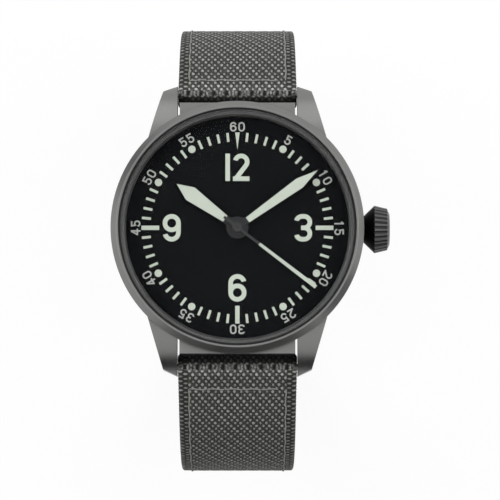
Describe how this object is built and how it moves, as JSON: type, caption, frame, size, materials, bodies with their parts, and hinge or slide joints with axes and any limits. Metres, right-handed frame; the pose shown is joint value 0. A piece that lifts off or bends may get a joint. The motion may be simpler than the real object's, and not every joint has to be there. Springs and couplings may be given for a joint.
{
  "type": "wristwatch",
  "caption": "Round pilot watch with a black dial, large hour numerals, onion crown and a coarse textile strap with pin buckle, laid open round in a loop.",
  "frame": {"origin": "centre of the case back's flat outer face", "axes": "+Z out through the dial, +Y towards 12 o'clock, +X towards the crown at 3 o'clock"},
  "size_m": [0.0463, 0.075, 0.0607],
  "materials": {
    "case_steel": "fine bead-blasted",
    "crown_steel": "dark satin",
    "crystal": "clear, coated",
    "gasket": "matt",
    "black_ring": "dark satin",
    "dial": "fine matt black",
    "print": "luminous print, fine grain",
    "small_print": "printed, matt",
    "hand": "matt black",
    "lume": "luminous filling, fine grain",
    "holder": "moulded",
    "plated": "matt plated, ground",
    "gear": "polished",
    "steel": "polished",
    "blued": "blued",
    "ruby": "polished, clear red",
    "weave": "coarse woven textile, stitched",
    "lining": "smooth lining"
  },
  "bodies": {
    "case": {"case_middle": "case_steel", "bezel": "case_steel", "crystal": "crystal", "crystal_gasket": "gasket", "dial_ring": "black_ring", "case_back": "case_steel", "case_back_gasket": "gasket", "crown_tube": "steel", "movement_ring": "holder", "dial": "dial", "dial_markers": "print", "hour_numerals": "print", "minute_numerals": "small_print", "mainplate": "plated", "barrel_bridge": "plated", "train_bridge": "plated", "balance_cock": "plated", "pallet_bridge": "plated", "bridge_screws": "blued", "jewels": "ruby", "hairspring": "blued", "spring_bar_12": "steel", "spring_bar_6": "steel"},
    "seconds": {"fourth_wheel": "gear", "second_hand": "hand", "second_hand_lume": "lume"},
    "minutes": {"centre_wheel": "gear", "cannon_pinion": "steel", "minute_hand": "hand", "minute_hand_lume": "lume"},
    "hours": {"hour_wheel": "gear", "hour_hand": "hand", "hour_hand_lume": "lume"},
    "minute_wheel": {"minute_wheel": "gear"},
    "third": {"third_wheel": "gear"},
    "escape": {"escape_wheel": "steel"},
    "barrel": {"barrel": "gear", "mainspring": "steel"},
    "balance": {"balance_wheel": "gear"},
    "pallet": {"pallet_fork": "steel"},
    "winding": {"winding_pinion": "steel"},
    "crown": {"crown": "crown_steel", "crown_gasket": "gasket", "stem": "steel"},
    "clutch": {"sliding_clutch": "steel"},
    "lever": {"setting_lever": "steel"},
    "yoke": {"yoke": "steel"},
    "crown_wheel": {"crown_wheel": "steel"},
    "ratchet": {"ratchet_wheel": "steel", "barrel_arbor": "steel"},
    "click": {"click": "steel"},
    "strap_12": {"strap_short": "weave", "strap_short_lining": "lining", "keeper_fixed": "weave"},
    "strap_6": {"strap_long": "weave", "strap_long_lining": "lining"},
    "keeper": {"keeper_free": "weave"},
    "buckle": {"buckle_frame": "case_steel", "buckle_bar": "steel"},
    "tongue": {"buckle_tongue": "case_steel"}
  },
  "joints": [
    {"name": "second_turn", "type": "hinge", "parent": "case", "child": "seconds", "pos_m": [0, 0, 0.0034], "axis": [0, 0, -1], "continuous": true},
    {"name": "minute_turn", "type": "hinge", "parent": "case", "child": "minutes", "pos_m": [0, 0, 0.004], "axis": [0, 0, -1], "continuous": true},
    {"name": "hour_turn", "type": "hinge", "parent": "case", "child": "hours", "pos_m": [0, 0, 0.0068], "axis": [0, 0, -1], "continuous": true},
    {"name": "minute_wheel_turn", "type": "hinge", "parent": "case", "child": "minute_wheel", "pos_m": [-0.00244, 0.00089, 0.0065], "axis": [0, 0, -1], "continuous": true},
    {"name": "third_turn", "type": "hinge", "parent": "case", "child": "third", "pos_m": [-0.00376, -0.00137, 0.0037], "axis": [0, 0, -1], "continuous": true},
    {"name": "escape_turn", "type": "hinge", "parent": "case", "child": "escape", "pos_m": [-0.00054, -0.00383, 0.0044], "axis": [0, 0, -1], "continuous": true},
    {"name": "barrel_turn", "type": "hinge", "parent": "case", "child": "barrel", "pos_m": [0.00273, 0.00473, 0.0049], "axis": [0, 0, -1], "continuous": true},
    {"name": "balance_swing", "type": "hinge", "parent": "case", "child": "balance", "pos_m": [0.0041, -0.0071, 0.0037], "axis": [0, 0, -1], "range_deg": [-26, 26], "stiffness_Nm_per_rad": 0.00000018},
    {"name": "pallet_swing", "type": "hinge", "parent": "case", "child": "pallet", "pos_m": [0.00118, -0.00504, 0.0044], "axis": [0, 0, -1], "range_deg": [-5.3, 5.3]},
    {"name": "crown_turn", "type": "hinge", "parent": "case", "child": "winding", "pos_m": [0.0104, 0, 0.0046], "axis": [1, 0, 0], "continuous": true},
    {"name": "crown_pull", "type": "slide", "parent": "winding", "child": "crown", "axis": [1, 0, 0], "range_m": [0, 0.0008]},
    {"name": "clutch_shift", "type": "slide", "parent": "winding", "child": "clutch", "axis": [1, 0, 0], "range_m": [-0.00048, 0]},
    {"name": "setting_lever_turn", "type": "hinge", "parent": "case", "child": "lever", "pos_m": [0.01115, 0.0033, 0.0046], "axis": [0, 0, 1], "range_deg": [0, 16.4]},
    {"name": "yoke_turn", "type": "hinge", "parent": "case", "child": "yoke", "pos_m": [0.0089, 0.0043, 0.0046], "axis": [0, 0, -1], "range_deg": [0, 8.3]},
    {"name": "crown_wheel_turn", "type": "hinge", "parent": "case", "child": "crown_wheel", "pos_m": [0.0082, 0, 0.003], "axis": [0, 0, 1], "continuous": true},
    {"name": "ratchet_turn", "type": "hinge", "parent": "case", "child": "ratchet", "pos_m": [0.00273, 0.00473, 0.003], "axis": [0, 0, 1], "continuous": true},
    {"name": "click_swing", "type": "hinge", "parent": "case", "child": "click", "pos_m": [-0.00153, 0.00834, 0.003], "axis": [0, 0, 1], "range_deg": [0, 8], "stiffness_Nm_per_rad": 0.00002},
    {"name": "strap_12_swing", "type": "hinge", "parent": "case", "child": "strap_12", "pos_m": [0, 0.0228, 0.0024], "axis": [1, 0, 0], "range_deg": [-25, 0]},
    {"name": "strap_6_swing", "type": "hinge", "parent": "case", "child": "strap_6", "pos_m": [0, -0.0228, 0.0024], "axis": [-1, 0, 0], "range_deg": [0, 80]},
    {"name": "keeper_slide", "type": "slide", "parent": "strap_12", "child": "keeper", "axis": [0, -1, 0], "range_m": [0, 0.0036]},
    {"name": "buckle_swing", "type": "hinge", "parent": "strap_12", "child": "buckle", "pos_m": [0, -0.0003, -0.03396], "axis": [1, 0, 0], "range_deg": [-30, 30]},
    {"name": "tongue_swing", "type": "hinge", "parent": "buckle", "child": "tongue", "pos_m": [0, -0.0003, -0.03396], "axis": [1, 0, 0], "range_deg": [0, 70]}
  ],
  "couplings": [
    {"joint": "minute_turn", "follows": "second_turn", "ratio": 0.016667},
    {"joint": "hour_turn", "follows": "second_turn", "ratio": 0.0013889},
    {"joint": "minute_wheel_turn", "follows": "second_turn", "ratio": -0.0055556},
    {"joint": "third_turn", "follows": "second_turn", "ratio": -0.13333},
    {"joint": "escape_turn", "follows": "second_turn", "ratio": -12},
    {"joint": "barrel_turn", "follows": "second_turn", "ratio": -0.0027778},
    {"joint": "pallet_swing", "follows": "balance_swing", "ratio": -0.2013},
    {"joint": "crown_wheel_turn", "follows": "crown_turn", "ratio": 0.5},
    {"joint": "ratchet_turn", "follows": "crown_turn", "ratio": -0.44118},
    {"joint": "clutch_shift", "follows": "crown_pull", "ratio": -0.6},
    {"joint": "setting_lever_turn", "follows": "crown_pull", "rad_per_m": 357.14},
    {"joint": "yoke_turn", "follows": "crown_pull", "rad_per_m": 180.45}
  ]
}
